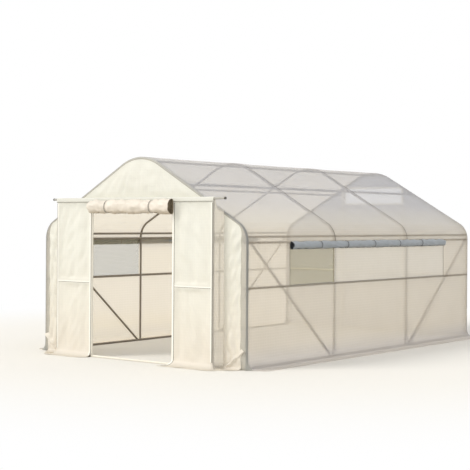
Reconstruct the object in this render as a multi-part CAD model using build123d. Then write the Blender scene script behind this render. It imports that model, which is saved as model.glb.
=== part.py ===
from build123d import *
import os
from math import acos, atan2, cos, degrees, hypot, radians, sin

# Walk-in polytunnel: bent tube hoops under a stretched film cover, with a shallow door surround at one end.
# Millimetres. X runs across the front, Y runs from the door to the back, Z is up, and Z = 0 is the ground.

# Tube, film and fits
tube_radius = 12.5
film = 3.0
clearance = 0.3
overrun = 100.0

# Hoops, on the centre line of the tube
hoop_half_width = 1485.0
leg_height = 1330.0
roof_rise = 905.0
eave_radius = 220.0
crown_radius = 530.0
bay_length = 1640.0
bays = 3
hoop_sides = 16

# Lengthwise tubes on the inside of the hoops, and braces between the hoops' legs
roof_purlin_share = 0.32
eave_purlin_angle = 15.0
head_rail_drop = 11.0
rail_spacing = 474.0
brace_setback = 50.0

# Door surround in front of the end wall
porch_depth = 145.0
porch_inset = 340.0
door_share = 0.5153
bar_rise = 126.0
bar_left_overhang = 66.0
bar_right_overhang = 153.0
cap_length = 14.0
cap_lip = 1.5
header_drop = 130.0
panel_corner_radius = 120.0

# Windows and their rolled flaps
window_front_setback = 745.0
window_back_setback = 690.0
window_roll_radius = 45.0
window_roll_drop = 33.0
window_roll_end_gap = 25.0

# Vent in the back gable, and the posts beside it
vent_half_width = 460.0
vent_height = 210.0
vent_margin = 40.0
back_post_margin = 40.0

# Door curtain, rolled up
door_roll_radius = 78.0
door_roll_drop = 24.0
door_roll_left_gap = 6.0
door_roll_right_overhang = 28.0

# Depth of a roll behind its middle, where it is squashed flat, as a share of its radius
roll_back_share = 0.3

# Ground skirts
side_skirt_width = 200.0
end_skirt_width = 140.0

# Shape of the hoop: the rafter is the tangent between the eave bend and the crown bend
ridge_height = leg_height + roof_rise
bend_x = hoop_half_width - eave_radius
crown_z = ridge_height - crown_radius
crown_rise = crown_z - leg_height
slope = acos((eave_radius - crown_radius) / hypot(bend_x, crown_rise)) - atan2(bend_x, crown_rise)
slope_degrees = degrees(slope)
eave_sweep = 90 - slope_degrees


def rafter_point(share, outset):
    """A point part of the way down the right rafter from the crown, moved outwards."""
    top = Vector(crown_radius * sin(slope), crown_z + crown_radius * cos(slope))
    foot = Vector(bend_x + eave_radius * sin(slope), leg_height + eave_radius * cos(slope))
    return top + (foot - top) * share + Vector(sin(slope), cos(slope)) * outset


def rafter_height(x, outset):
    """Height of the right rafter's line, moved outwards, at a distance from the ridge."""
    return crown_z + (crown_radius + outset - x * sin(slope)) / cos(slope)


def rafter_x(z, outset):
    """Distance from the ridge of the right rafter's line, moved outwards, at a height."""
    return (crown_radius + outset - (z - crown_z) * cos(slope)) / sin(slope)


# Offsets from a tube's centre line to a film's two faces and to a tube that crosses behind it
film_gap = tube_radius + clearance
film_face = film_gap + film
crossing = 2 * tube_radius + clearance
inner_x = hoop_half_width - crossing
rail_end_x = inner_x - film_gap

# Places along the tunnel, with the whole part centred on Y = 0
tunnel_length = bays * bay_length
front_reach = porch_depth + film_face + clearance + max((1 + roll_back_share) * door_roll_radius, end_skirt_width)
back_reach = film_face + clearance + end_skirt_width
front_y = (front_reach - back_reach - tunnel_length) / 2
back_y = front_y + tunnel_length
porch_y = front_y - porch_depth
hoop_ys = [front_y + bay_length * i for i in range(bays + 1)]
cover_ys = (front_y - film_face, back_y + film_face)
purlin_ys = (front_y - tube_radius, back_y + tube_radius)
front_wall_ys = (front_y - film_face, front_y - film_gap)
back_wall_ys = (back_y + film_gap, back_y + film_face)
porch_front_ys = (porch_y - film_face, porch_y - film_gap)

# Heights and places on the walls, the windows and the door surround
head_rail_height = leg_height - head_rail_drop
rail_height = head_rail_height - rail_spacing
wall_xs = (hoop_half_width + film_gap, hoop_half_width + film_face)
window_ys = (front_y + window_front_setback, back_y - window_back_setback)
window_zs = (rail_height + tube_radius, head_rail_height - tube_radius)
porch_half_width = hoop_half_width - porch_inset
door_half_width = porch_half_width * door_share
porch_side_xs = (porch_half_width + film_gap, porch_half_width + film_face)
bar_height = rafter_height(porch_half_width, 0) + bar_rise
porch_top = bar_height + film_gap
door_post_x = door_half_width + tube_radius
back_post_x = vent_half_width + back_post_margin
vent_top = rafter_height(vent_half_width, tube_radius) - vent_margin


def roll_end(radius):
    """The end of a rolled sheet, round in front and flat where it is squashed against the wall behind it."""
    in_front = Rectangle(3 * radius, 3 * radius, align=(Align.MIN, Align.CENTER))
    return Circle(radius) & Pos(-roll_back_share * radius) * in_front


def tube(start, end):
    """A straight tube from one point to another."""
    run = Vector(end) - Vector(start)
    body = Cylinder(tube_radius, run.length, align=(Align.CENTER, Align.CENTER, Align.MIN))
    return Plane(start, z_dir=run) * body


def lengthwise(x, z):
    """A tube along the whole tunnel, clamped to the inside of the hoops."""
    return tube((x, purlin_ys[0], z), (x, purlin_ys[1], z))


def slab(x_span, y_span, z_span):
    """A box between two places along each axis."""
    low = Vector(x_span[0], y_span[0], z_span[0])
    size = Vector(x_span[1], y_span[1], z_span[1]) - low
    return Pos(low) * Box(*size, align=(Align.MIN, Align.MIN, Align.MIN))


def across(y):
    """A plane across the tunnel, with its own x along X and its own y up."""
    return Plane((0, y, 0), x_dir=(1, 0, 0), z_dir=(0, -1, 0))


def prism(outline, y_span):
    """An outline drawn in X and Z, drawn out along the tunnel."""
    return extrude(across(y_span[1]) * outline, y_span[1] - y_span[0])


def sheet(*corners):
    """A flat film through its corners, as thick upwards as the film."""
    return extrude(make_face(Polyline(*corners, close=True)), film, dir=(0, 0, 1))


def mirrored(shape):
    """The left-hand copy of a right-hand piece."""
    return mirror(shape, about=Plane.YZ)


def group(*shapes):
    """Separate solids of like pieces, kept as one node."""
    return Compound([solid for shape in shapes for solid in shape.solids()])


def both_sides(*shapes):
    """Right-hand pieces and their left-hand copies."""
    return group(*shapes, *[mirrored(shape) for shape in shapes])


def hoop_line(outset):
    """A hoop's centre line, moved outwards, from the right foot over the crown to the left foot."""
    foot = (hoop_half_width + outset, 0)
    leg = Line(foot, (hoop_half_width + outset, leg_height))
    eave = CenterArc((bend_x, leg_height), eave_radius + outset, 0, eave_sweep)
    crown = CenterArc((0, crown_z), crown_radius + outset, eave_sweep, 2 * slope_degrees)
    far_eave = CenterArc((-bend_x, leg_height), eave_radius + outset, 90 + slope_degrees, eave_sweep)
    far_leg = Line(far_eave @ 1, (-hoop_half_width - outset, 0))
    rafter = Line(eave @ 1, crown @ 0)
    far_rafter = Line(crown @ 1, far_eave @ 0)
    return Wire([leg, eave, rafter, crown, far_rafter, far_eave, far_leg])


def hoop_outline(outset):
    """The area inside a hoop's centre line, moved outwards, down to the ground."""
    line = hoop_line(outset)
    return make_face([*line.edges(), Line(line @ 1, line @ 0)])


# Hoops, each one continuous bent tube
hoop_section = Plane((hoop_half_width, 0, 0)) * RegularPolygon(tube_radius, hoop_sides)
hoop = sweep(hoop_section, across(0) * hoop_line(0))

# Lengthwise tubes
ridge_pole = lengthwise(0, ridge_height - crossing)
roof_purlin_at = rafter_point(roof_purlin_share, -crossing)
roof_purlin = lengthwise(roof_purlin_at.X, roof_purlin_at.Y)
eave_purlin_reach = eave_radius - crossing
eave_purlin_x = bend_x + eave_purlin_reach * cos(radians(eave_purlin_angle))
eave_purlin_z = leg_height + eave_purlin_reach * sin(radians(eave_purlin_angle))
eave_purlin = lengthwise(eave_purlin_x, eave_purlin_z)
head_rail = lengthwise(inner_x, head_rail_height)
side_rail = lengthwise(inner_x, rail_height)
base_rail = lengthwise(inner_x, tube_radius)

# Diagonal braces in the plane of the legs, from the end hoops' eaves down towards the feet of the next hoops
front_brace_ys = (front_y + brace_setback, hoop_ys[1] - brace_setback)
back_brace_ys = (back_y - brace_setback, hoop_ys[-2] + brace_setback)
braces = [
    tube((hoop_half_width, head_y, head_rail_height), (hoop_half_width, foot_y, tube_radius))
    for head_y, foot_y in (front_brace_ys, back_brace_ys)
]

# Back end frame
back_post_top = rafter_height(back_post_x + tube_radius, -film_gap)
back_post = tube((back_post_x, back_y, 0), (back_post_x, back_y, back_post_top))
back_rail_xs = [
    (-back_post_x + film_gap, back_post_x - film_gap),
    (back_post_x + film_gap, rail_end_x),
    (-rail_end_x, -back_post_x - film_gap),
]
back_rail_zs = (tube_radius, rail_height)
back_rails = [tube((a, back_y, z), (b, back_y, z)) for a, b in back_rail_xs for z in back_rail_zs]

# Door surround frame
post_top = bar_height - film_gap
porch_post = tube((porch_half_width, porch_y, 0), (porch_half_width, porch_y, post_top))
door_post = tube((door_post_x, porch_y, 0), (door_post_x, porch_y, post_top))
porch_rail_xs = (door_post_x + film_gap, porch_half_width - film_gap)
foot_rail = tube((porch_rail_xs[0], porch_y, tube_radius), (porch_rail_xs[1], porch_y, tube_radius))
panel_rail = tube((porch_rail_xs[0], porch_y, rail_height), (porch_rail_xs[1], porch_y, rail_height))
threshold_end = door_post_x - film_gap
threshold_bar = tube((-threshold_end, porch_y, tube_radius), (threshold_end, porch_y, tube_radius))
bar_right = porch_half_width + bar_right_overhang
bar_left = -porch_half_width - bar_left_overhang
top_bar = tube((bar_left, porch_y, bar_height), (bar_right, porch_y, bar_height))
cap = Cylinder(tube_radius + cap_lip, cap_length, align=(Align.CENTER, Align.CENTER, Align.MIN))
right_cap = Plane((bar_right, porch_y, bar_height), z_dir=(1, 0, 0)) * cap
left_cap = Plane((bar_left, porch_y, bar_height), z_dir=(-1, 0, 0)) * cap
link_ys = (porch_y + film_gap, front_y - film_gap)
link_x = rafter_x(bar_height, 0)
top_link = tube((link_x, link_ys[0], bar_height), (link_x, link_ys[1], bar_height))
foot_link = tube((porch_half_width, link_ys[0], tube_radius), (porch_half_width, link_ys[1], tube_radius))
front_rail_start = porch_half_width - tube_radius
front_base_rail = tube((front_rail_start, front_y, tube_radius), (rail_end_x, front_y, tube_radius))

# Roof of the cover, one sheet from eave to eave, and the long walls below it
below_eaves = Pos(0, leg_height) * Rectangle(
    2 * wall_xs[1] + overrun, 2 * leg_height, align=(Align.CENTER, Align.MAX)
)
roof_cover = prism(hoop_outline(film_face) - hoop_outline(film_gap) - below_eaves, cover_ys)
cut_xs = (wall_xs[0] - overrun, wall_xs[1] + overrun)
wall_cover = slab(wall_xs, cover_ys, (0, leg_height)) - slab(cut_xs, window_ys, window_zs)

# Windows under the rolled flaps: mesh as far as the second hoop, clear film beyond it
pane_zs = (window_zs[0] + clearance, window_zs[1] - clearance)
window_mesh = slab(wall_xs, (window_ys[0] + clearance, hoop_ys[1]), pane_zs)
window_film = slab(wall_xs, (hoop_ys[1] + clearance, window_ys[1] - clearance), pane_zs)
roll_x = wall_xs[1] + clearance + roll_back_share * window_roll_radius
roll_start = Plane((roll_x, window_ys[0], head_rail_height - window_roll_drop), x_dir=(1, 0, 0), z_dir=(0, 1, 0))
roll_length = window_ys[1] - window_ys[0] - window_roll_end_gap
window_roll = extrude(roll_start * roll_end(window_roll_radius), roll_length)

# End walls
front_wall = prism(hoop_outline(tube_radius), front_wall_ys)
everywhere_x = (-hoop_half_width - overrun, hoop_half_width + overrun)
above_porch = (porch_top + film + clearance, ridge_height + overrun)
front_gable = front_wall & slab(everywhere_x, front_wall_ys, above_porch)
beside_porch = (porch_side_xs[0], hoop_half_width + overrun)
front_strip = front_wall & slab(beside_porch, front_wall_ys, (0, ridge_height))
vent_cut_ys = (back_wall_ys[0] - overrun, back_wall_ys[1] + overrun)
vent_hole = slab((-vent_half_width, vent_half_width), vent_cut_ys, (vent_top - vent_height, vent_top))
back_wall = prism(hoop_outline(tube_radius), back_wall_ys) - vent_hole
vent_mesh_x = vent_half_width - clearance
vent_mesh_zs = (vent_top - vent_height + clearance, vent_top - clearance)
back_vent_mesh = slab((-vent_mesh_x, vent_mesh_x), back_wall_ys, vent_mesh_zs)

# Door surround's front: panels with a rounded corner at the foot of the doorway, and a header over it
panel_blank = slab((door_half_width, porch_side_xs[1]), porch_front_ys, (0, porch_top))
door_foot_edge = panel_blank.edges().filter_by(Axis.Y).group_by(Axis.Z)[0].sort_by(Axis.X)[0]
porch_panel = fillet(door_foot_edge, panel_corner_radius)
header_x = door_half_width - clearance
door_header = slab((-header_x, header_x), porch_front_ys, (bar_height - header_drop, porch_top))

# Door surround's top: flat behind the bar, with a wing on each side that folds down to the roof
fold_y = porch_y + film_gap
porch_back_y = front_wall_ys[0] - clearance
wing_x = rafter_x(porch_top, film_face)
wing_foot = rafter_height(porch_side_xs[1], film_face)
porch_flat = sheet(
    (-porch_side_xs[1], porch_front_ys[0], porch_top),
    (porch_side_xs[1], porch_front_ys[0], porch_top),
    (porch_side_xs[1], fold_y, porch_top),
    (wing_x, porch_back_y, porch_top),
    (-wing_x, porch_back_y, porch_top),
    (-porch_side_xs[1], fold_y, porch_top),
)
porch_wing = sheet(
    (porch_side_xs[1], fold_y, porch_top),
    (porch_side_xs[1], porch_back_y, wing_foot),
    (wing_x, porch_back_y, porch_top),
)
porch_roof = porch_flat + porch_wing + mirrored(porch_wing)

# Door surround's cheeks, notched round the bar and cut to the wing's slope
cheek_outline = Polyline(
    (porch_front_ys[1], 0),
    (porch_back_y, 0),
    (porch_back_y, wing_foot - clearance),
    (fold_y, porch_top - clearance),
    (fold_y, bar_height - film_gap),
    (porch_front_ys[1], bar_height - film_gap),
    close=True,
)
cheek_plane = Plane((porch_side_xs[0], 0, 0), x_dir=(0, 1, 0), z_dir=(1, 0, 0))
porch_side = extrude(cheek_plane * make_face(cheek_outline), film)

# Door curtain rolled up in front of the header
door_roll_y = porch_front_ys[0] - clearance - roll_back_share * door_roll_radius
door_roll_z = porch_top + film - door_roll_drop - door_roll_radius
door_roll_left = door_roll_left_gap - door_half_width
door_roll_start = Plane((door_roll_left, door_roll_y, door_roll_z), x_dir=(0, -1, 0), z_dir=(1, 0, 0))
door_roll_length = door_half_width + door_roll_right_overhang - door_roll_left
door_roll = extrude(door_roll_start * roll_end(door_roll_radius), door_roll_length)

# Ground skirts, lying outwards from the foot of the cover
skirt_zs = (0, film)
side_skirt_x = wall_xs[1] + clearance
side_skirt = slab((side_skirt_x, side_skirt_x + side_skirt_width), cover_ys, skirt_zs)
porch_skirt_y = porch_front_ys[0] - clearance
porch_skirt_xs = (door_half_width + panel_corner_radius, porch_side_xs[1])
porch_skirt = slab(porch_skirt_xs, (porch_skirt_y - end_skirt_width, porch_skirt_y), skirt_zs)
front_skirt_xs = (porch_side_xs[1] + clearance, wall_xs[1])
front_skirt = slab(front_skirt_xs, (porch_back_y - end_skirt_width, porch_back_y), skirt_zs)
back_skirt_y = back_wall_ys[1] + clearance
back_skirt = slab((-wall_xs[1], wall_xs[1]), (back_skirt_y, back_skirt_y + end_skirt_width), skirt_zs)

nodes = {f"hoop_{i + 1}": Pos(0, y, 0) * hoop for i, y in enumerate(hoop_ys)}
nodes |= {
    "ridge_pole": ridge_pole,
    "roof_purlins": both_sides(roof_purlin),
    "eave_purlins": both_sides(eave_purlin),
    "window_head_rails": both_sides(head_rail),
    "side_rails": both_sides(side_rail),
    "base_rails": both_sides(base_rail),
    "wall_braces": both_sides(*braces),
    "back_posts": both_sides(back_post),
    "back_rails": group(*back_rails),
    "porch_posts": both_sides(porch_post),
    "door_posts": both_sides(door_post),
    "porch_rails": both_sides(foot_rail, panel_rail),
    "threshold_bar": threshold_bar,
    "porch_top_bar": top_bar,
    "bar_caps": group(right_cap, left_cap),
    "porch_links": both_sides(top_link, foot_link),
    "front_base_rails": both_sides(front_base_rail),
    "roof_cover": roof_cover,
    "wall_cover_right": wall_cover,
    "wall_cover_left": mirrored(wall_cover),
    "window_mesh": both_sides(window_mesh),
    "window_film": both_sides(window_film),
    "window_rolls": both_sides(window_roll),
    "front_gable": front_gable,
    "front_wall_right": front_strip,
    "front_wall_left": mirrored(front_strip),
    "back_wall": back_wall,
    "back_vent_mesh": back_vent_mesh,
    "porch_panel_right": porch_panel,
    "porch_panel_left": mirrored(porch_panel),
    "door_header": door_header,
    "porch_sides": both_sides(porch_side),
    "porch_roof": porch_roof,
    "door_roll": door_roll,
    "side_skirts": both_sides(side_skirt),
    "front_skirts": both_sides(porch_skirt, front_skirt),
    "back_skirt": back_skirt,
}

os.makedirs("parts", exist_ok=True)
for node, shape in nodes.items():
    export_step(shape, f"parts/{node}.step")
    box = shape.bounding_box()
    print(node, len(shape.solids()), "solids", [round(v) for v in (*box.min, *box.max)])
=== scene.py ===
# %% [markdown]
# # Dressing a polytunnel
# The tunnel's tube frame comes from CAD as finished solids. What is missing is everything soft: the woven
# film that is stretched over the hoops, the end walls, the rolled door curtain and window flaps, and
# their ties. Each of them starts as a flat cut of cloth and is then laid where the frame carries it, as
# the real cover is. A cloth simulation could drape them too. But a taut cover moves only by millimetres,
# and laying it by formula keeps its edges on the tubes and gives the same result every time.

# %% Load the frame
from math import acos, atan2, cos, exp, hypot, pi, radians, sin, sqrt, tan

import bpy
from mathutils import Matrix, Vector, noise


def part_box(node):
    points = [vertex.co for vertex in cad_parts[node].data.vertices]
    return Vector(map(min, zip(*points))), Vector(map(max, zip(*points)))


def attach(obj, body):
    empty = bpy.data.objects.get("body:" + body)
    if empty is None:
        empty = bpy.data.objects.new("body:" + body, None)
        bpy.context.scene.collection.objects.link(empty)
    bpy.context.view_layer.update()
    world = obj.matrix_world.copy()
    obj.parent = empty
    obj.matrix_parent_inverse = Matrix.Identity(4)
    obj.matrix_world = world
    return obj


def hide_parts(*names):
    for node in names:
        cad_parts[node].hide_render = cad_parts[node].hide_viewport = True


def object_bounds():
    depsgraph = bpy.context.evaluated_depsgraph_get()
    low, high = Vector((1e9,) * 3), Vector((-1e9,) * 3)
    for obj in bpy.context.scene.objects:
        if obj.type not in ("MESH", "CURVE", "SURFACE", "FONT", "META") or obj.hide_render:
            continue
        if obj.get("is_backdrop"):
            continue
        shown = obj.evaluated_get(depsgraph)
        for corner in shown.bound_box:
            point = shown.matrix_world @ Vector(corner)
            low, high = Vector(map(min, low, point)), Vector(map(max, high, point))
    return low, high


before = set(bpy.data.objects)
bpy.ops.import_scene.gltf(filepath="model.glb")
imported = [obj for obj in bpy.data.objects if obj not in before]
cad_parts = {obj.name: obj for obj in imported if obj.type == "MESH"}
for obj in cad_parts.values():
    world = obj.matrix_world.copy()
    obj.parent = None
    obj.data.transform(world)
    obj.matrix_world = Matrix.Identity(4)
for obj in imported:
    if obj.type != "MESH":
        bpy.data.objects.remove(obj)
cad_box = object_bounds()
print("frame:", len(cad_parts), "nodes, from", cad_box[0], "to", cad_box[1])

# %% [markdown]
# ## The hoop's line
# All of the film follows the hoops, so their shape comes first: a straight leg, a bend at the eave, a
# straight rafter and a bend at the crown. The outer sizes are read from the frame, and the bends repeat
# the CAD's values. All lengths are in metres, and a tube is given by its radius.

# %% Hoop sizes
tube = 0.0125
leg_height = 1.330
eave_radius = 0.220
crown_radius = 0.530
hoop_low, hoop_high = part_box("hoop_1")
half_width = hoop_high.x - tube
ridge = hoop_high.z - tube
front_y = (hoop_low.y + hoop_high.y) / 2
second_y = sum(corner.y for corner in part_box("hoop_2")) / 2
back_y = sum(corner.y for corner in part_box("hoop_4")) / 2
bay = second_y - front_y
tunnel_length = back_y - front_y
bend_x = half_width - eave_radius
crown_z = ridge - crown_radius
crown_rise = crown_z - leg_height
slope = acos((eave_radius - crown_radius) / hypot(bend_x, crown_rise)) - atan2(bend_x, crown_rise)
rafter_foot = Vector((bend_x + eave_radius * sin(slope), 0, leg_height + eave_radius * cos(slope)))
rafter_head = Vector((crown_radius * sin(slope), 0, crown_z + crown_radius * cos(slope)))
rafter = (rafter_foot - rafter_head).length
print(f"hoop {2 * half_width:.3f} m wide, {ridge:.3f} m high, rafter {rafter:.3f} m")

# %% [markdown]
# Film rests on the outside of a tube, a hair away from it. Distances over the roof are measured round the
# hoop from the ridge, so that a flat cut of cloth and the place where it ends up share one measure.

# %% Follow the hoop
film = 0.0012
cover_clearance = 0.0034
end_clearance = 0.0012
cover_gap = tube + cover_clearance
end_gap = tube + end_clearance
crown_run = (crown_radius + cover_gap) * slope
eave_start = crown_run + rafter
wall_start = eave_start + (eave_radius + cover_gap) * (pi / 2 - slope)


def round_the_hoop(distance):
    """The point at a distance round the film from the ridge, right if positive, and the way out there."""
    side = 1 if distance >= 0 else -1
    run = abs(distance)
    if run < eave_start:
        angle = min(run / (crown_radius + cover_gap), slope)
        beyond = max(run - crown_run, 0)
        x = (crown_radius + cover_gap) * sin(angle) + beyond * cos(slope)
        z = crown_z + (crown_radius + cover_gap) * cos(angle) - beyond * sin(slope)
    else:
        angle = min(slope + (run - eave_start) / (eave_radius + cover_gap), pi / 2)
        x = bend_x + (eave_radius + cover_gap) * sin(angle)
        z = leg_height + (eave_radius + cover_gap) * cos(angle) - max(run - wall_start, 0)
    return Vector((side * x, 0, z)), Vector((side * sin(angle), 0, cos(angle)))


def hoop_height(x):
    """Height of the hoop's centre line at a distance from the middle of the tunnel."""
    x = min(abs(x), half_width)
    if x < rafter_head.x:
        return crown_z + sqrt(crown_radius**2 - x**2)
    if x < rafter_foot.x:
        return rafter_head.z - (x - rafter_head.x) * tan(slope)
    return leg_height + sqrt(max(eave_radius**2 - (x - bend_x) ** 2, 0))


print(f"film from ridge to eave {wall_start:.3f} m, eave at {hoop_height(half_width):.3f} m")

# %% [markdown]
# ## Camera
# The photograph is taken from standing height, in front of the tunnel and to its right, with a long lens.
# The place and the lens were found by fitting the hoops, rails and door posts to the picture. The camera
# stays level and its picture is shifted instead of tilted, so that upright posts stay upright.

# %% Camera
camera_place = (8.944, -12.2355, 1.527)
camera_turn = radians(37.74)
camera_roll = radians(-0.376)
focus_px = 1196.6
image_px = 470
horizon_px = 222.65
sensor_mm = 36

bpy.ops.object.select_all(action="DESELECT")
bpy.ops.object.camera_add(location=camera_place, rotation=(pi / 2, camera_roll, camera_turn))
camera = bpy.context.object
camera.data.sensor_width = sensor_mm
camera.data.lens = focus_px / image_px * sensor_mm
camera.data.shift_y = (horizon_px - image_px / 2) / image_px
bpy.context.scene.camera = camera
print(f"camera lens {camera.data.lens:.1f} mm, shift {camera.data.shift_y:.4f}")

# %% [markdown]
# ## Light, floor and background
# A plain studio: an even white surround, one broad lamp from the front left, and a pale floor that takes
# the shadow. The camera sees the surround as white, and the floor fades to that white away from the
# object. One small function adds every shader node from here on.

# %% Nodes and colours
def linear(colour):
    """An sRGB hex colour as the linear values that shaders use."""
    parts = [int(colour[i : i + 2], 16) / 255 for i in (1, 3, 5)]
    return (*[p / 12.92 if p <= 0.04045 else ((p + 0.055) / 1.055) ** 2.4 for p in parts], 1)


def node(tree, kind, inputs=None, **settings):
    """Adds a node, with its settings, and its inputs as values or as links from other nodes' outputs."""
    made = tree.nodes.new(kind)
    for name, value in settings.items():
        setattr(made, name, value)
    for name, value in (inputs or {}).items():
        if isinstance(value, bpy.types.NodeSocket):
            tree.links.new(value, made.inputs[name])
        else:
            made.inputs[name].default_value = value
    return made


def empty_tree(owner):
    """A material's or world's node tree, cleared."""
    owner.use_nodes = True
    owner.node_tree.nodes.clear()
    return owner.node_tree


def seen_directly(tree):
    """1 for rays from the camera, a mirror or glass, and 0 for light."""
    path = node(tree, "ShaderNodeLightPath")
    mirror = {0: path.outputs["Is Camera Ray"], 1: path.outputs["Is Glossy Ray"]}
    either = node(tree, "ShaderNodeMath", mirror, operation="MAXIMUM")
    glass = {0: either.outputs[0], 1: path.outputs["Is Transmission Ray"]}
    return node(tree, "ShaderNodeMath", glass, operation="MAXIMUM").outputs[0]


print("a middle grey is", [round(c, 3) for c in linear("#808080")])

# %% Surround and lamp
surround_strength = 0.88
lamp_strength = 1.62
lamp_spread = radians(25)
lamp_turn = (radians(52), 0, radians(-33))

world = bpy.data.worlds.new("studio surround")
bpy.context.scene.world = world
tree = empty_tree(world)
light = node(tree, "ShaderNodeBackground", {"Color": (1, 1, 1, 1), "Strength": surround_strength})
white = node(tree, "ShaderNodeBackground", {"Color": (1, 1, 1, 1), "Strength": 1})
mixed = {0: seen_directly(tree), 1: light.outputs[0], 2: white.outputs[0]}
shown = node(tree, "ShaderNodeMixShader", mixed)
node(tree, "ShaderNodeOutputWorld", {"Surface": shown.outputs[0]})

bpy.ops.object.light_add(type="SUN", rotation=lamp_turn)
lamp = bpy.context.object
lamp.data.energy = lamp_strength
lamp.data.angle = lamp_spread
lamp.data.color = linear("#FFFBF3")[:3]
bpy.context.scene.view_settings.view_transform = "Standard"
print("surround", surround_strength, "lamp", lamp_strength)

# %% Floor
floor_size = 80
fade_start = 3.5
fade_end = 7.5

bpy.ops.mesh.primitive_plane_add(size=floor_size)
floor = bpy.context.object
floor.name = "studio_floor"
# Matt paint takes a soft shadow near the tunnel and has no shine of its own.
paint = bpy.data.materials.new("matt floor paint")
tree = empty_tree(paint)
place = node(tree, "ShaderNodeTexCoord")
reach = node(tree, "ShaderNodeVectorMath", {0: place.outputs["Object"]}, operation="LENGTH")
limits = {"Value": reach.outputs["Value"], "From Min": fade_start, "From Max": fade_end}
fade = node(tree, "ShaderNodeMapRange", limits, interpolation_type="SMOOTHSTEP")
both = {0: fade.outputs[0], 1: seen_directly(tree)}
far = node(tree, "ShaderNodeMath", both, operation="MULTIPLY")
matt = node(tree, "ShaderNodeBsdfDiffuse", {"Color": linear("#E9E7E2")})
bright = node(tree, "ShaderNodeEmission", {"Color": (1, 1, 1, 1), "Strength": 1})
shown = node(tree, "ShaderNodeMixShader", {0: far.outputs[0], 1: matt.outputs[0], 2: bright.outputs[0]})
node(tree, "ShaderNodeOutputMaterial", {"Surface": shown.outputs[0]})
floor.data.materials.append(paint)
floor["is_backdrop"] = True
print("floor fades out from", fade_start, "to", fade_end, "m")

# %% [markdown]
# ## Woven film
# The cover is woven polyethylene tape, laminated on both faces and reinforced by a square grid of thicker
# threads. It scatters light, lets part of it through, and shows what touches it from behind. So each film
# mixes three things: a satin plastic face, a translucent glow, and a share that is simply clear. A film
# has two faces, so what is seen through it passes that share twice. The colour goes by height with painted
# shade and light: the roof is painted cooler and greyer, the foot a darker lavender for shade and sky
# reflection, and the half that faces the lamp has a warmer painted glow. The real reinforcing grid is about
# 10 mm; it is drawn coarser here so that it shows at this distance. Patterns run on the cloth's own flat
# measure, in metres.

# %% Film material
# A wave texture at a scale of 1 repeats every pi / 10 metres.
wave_period = 2 * pi / 20
grid_spacing = 0.030
thread_edge = 0.8
thread_height = 0.0001
cloud_size = 0.40
cloud_tone = "#EFEDE9"
crease_size = 0.09
crease_height = 0.006
sunny_edge = 0.4


def woven_film(name, tones, glow, glow_share, cover_share, grid_share, sunny_glow=None):
    """Laminated woven film: its colours and glow by height, and how much each face hides what is behind."""
    material = bpy.data.materials.new(name)
    tree = empty_tree(material)
    place = node(tree, "ShaderNodeTexCoord")
    flat = place.outputs["UV"]
    threads = []
    for direction in ("X", "Y"):
        scale = {"Vector": flat, "Scale": wave_period / grid_spacing}
        wave = node(tree, "ShaderNodeTexWave", scale, bands_direction=direction)
        limits = {"Value": wave.outputs["Fac"], "From Min": thread_edge, "From Max": 1.0}
        threads.append(node(tree, "ShaderNodeMapRange", limits).outputs[0])
    grid = node(tree, "ShaderNodeMath", {0: threads[0], 1: threads[1]}, operation="MAXIMUM").outputs[0]
    cloud = node(tree, "ShaderNodeTexNoise", {"Vector": flat, "Scale": 1 / cloud_size, "Detail": 3})
    creases = node(tree, "ShaderNodeTexNoise", {"Vector": flat, "Scale": 1 / crease_size, "Detail": 4})
    spot = node(tree, "ShaderNodeSeparateXYZ", {0: place.outputs["Object"]})
    limits = {"Value": spot.outputs["Z"], "From Max": ridge}
    height = node(tree, "ShaderNodeMapRange", limits)
    shades = []
    for colours in (tones, glow):
        ramp = node(tree, "ShaderNodeValToRGB", {"Fac": height.outputs[0]})
        stops = ramp.color_ramp.elements
        stops.remove(stops[1])
        for i, (z, colour) in enumerate(colours.items()):
            stop = stops.new(z / ridge) if i else stops[0]
            stop.position = z / ridge
            stop.color = linear(colour)
        shades.append(ramp.outputs["Color"])
    # The half that faces the lamp gets a warmer painted glow.
    if sunny_glow:
        limits = {"Value": spot.outputs["X"], "From Min": -sunny_edge, "From Max": sunny_edge}
        shaded = node(tree, "ShaderNodeMapRange", limits, interpolation_type="SMOOTHSTEP")
        both = {0: shaded.outputs[0], 6: linear(sunny_glow), 7: shades[1]}
        shades[1] = node(tree, "ShaderNodeMix", both, data_type="RGBA").outputs[2]
    cloudy = {0: cloud.outputs["Fac"], 6: shades[0], 7: linear(cloud_tone)}
    colour = node(tree, "ShaderNodeMix", cloudy, data_type="RGBA", blend_type="MULTIPLY").outputs[2]
    raised = node(tree, "ShaderNodeMath", {0: grid, 1: thread_height}, operation="MULTIPLY")
    low = {0: creases.outputs["Fac"], 1: crease_height, 2: raised.outputs[0]}
    relief = node(tree, "ShaderNodeMath", low, operation="MULTIPLY_ADD")
    bump = node(tree, "ShaderNodeBump", {"Height": relief.outputs[0], "Strength": 0.7, "Distance": 1})
    plastic = {"Base Color": colour, "Roughness": 0.42, "IOR": 1.5, "Normal": bump.outputs[0]}
    body = node(tree, "ShaderNodeBsdfPrincipled", plastic)
    back = node(tree, "ShaderNodeBsdfTranslucent", {"Color": shades[1], "Normal": bump.outputs[0]})
    lit = node(tree, "ShaderNodeMixShader", {0: glow_share, 1: body.outputs[0], 2: back.outputs[0]})
    cover = {0: grid, 1: grid_share, 2: cover_share}
    hidden = node(tree, "ShaderNodeMath", cover, operation="MULTIPLY_ADD", use_clamp=True)
    clear = node(tree, "ShaderNodeBsdfTransparent")
    seen = node(tree, "ShaderNodeMixShader", {0: hidden.outputs[0], 1: clear.outputs[0], 2: lit.outputs[0]})
    node(tree, "ShaderNodeOutputMaterial", {"Surface": seen.outputs[0]})
    return material


print("film grid drawn", 1000 * grid_spacing, "mm apart")
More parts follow.
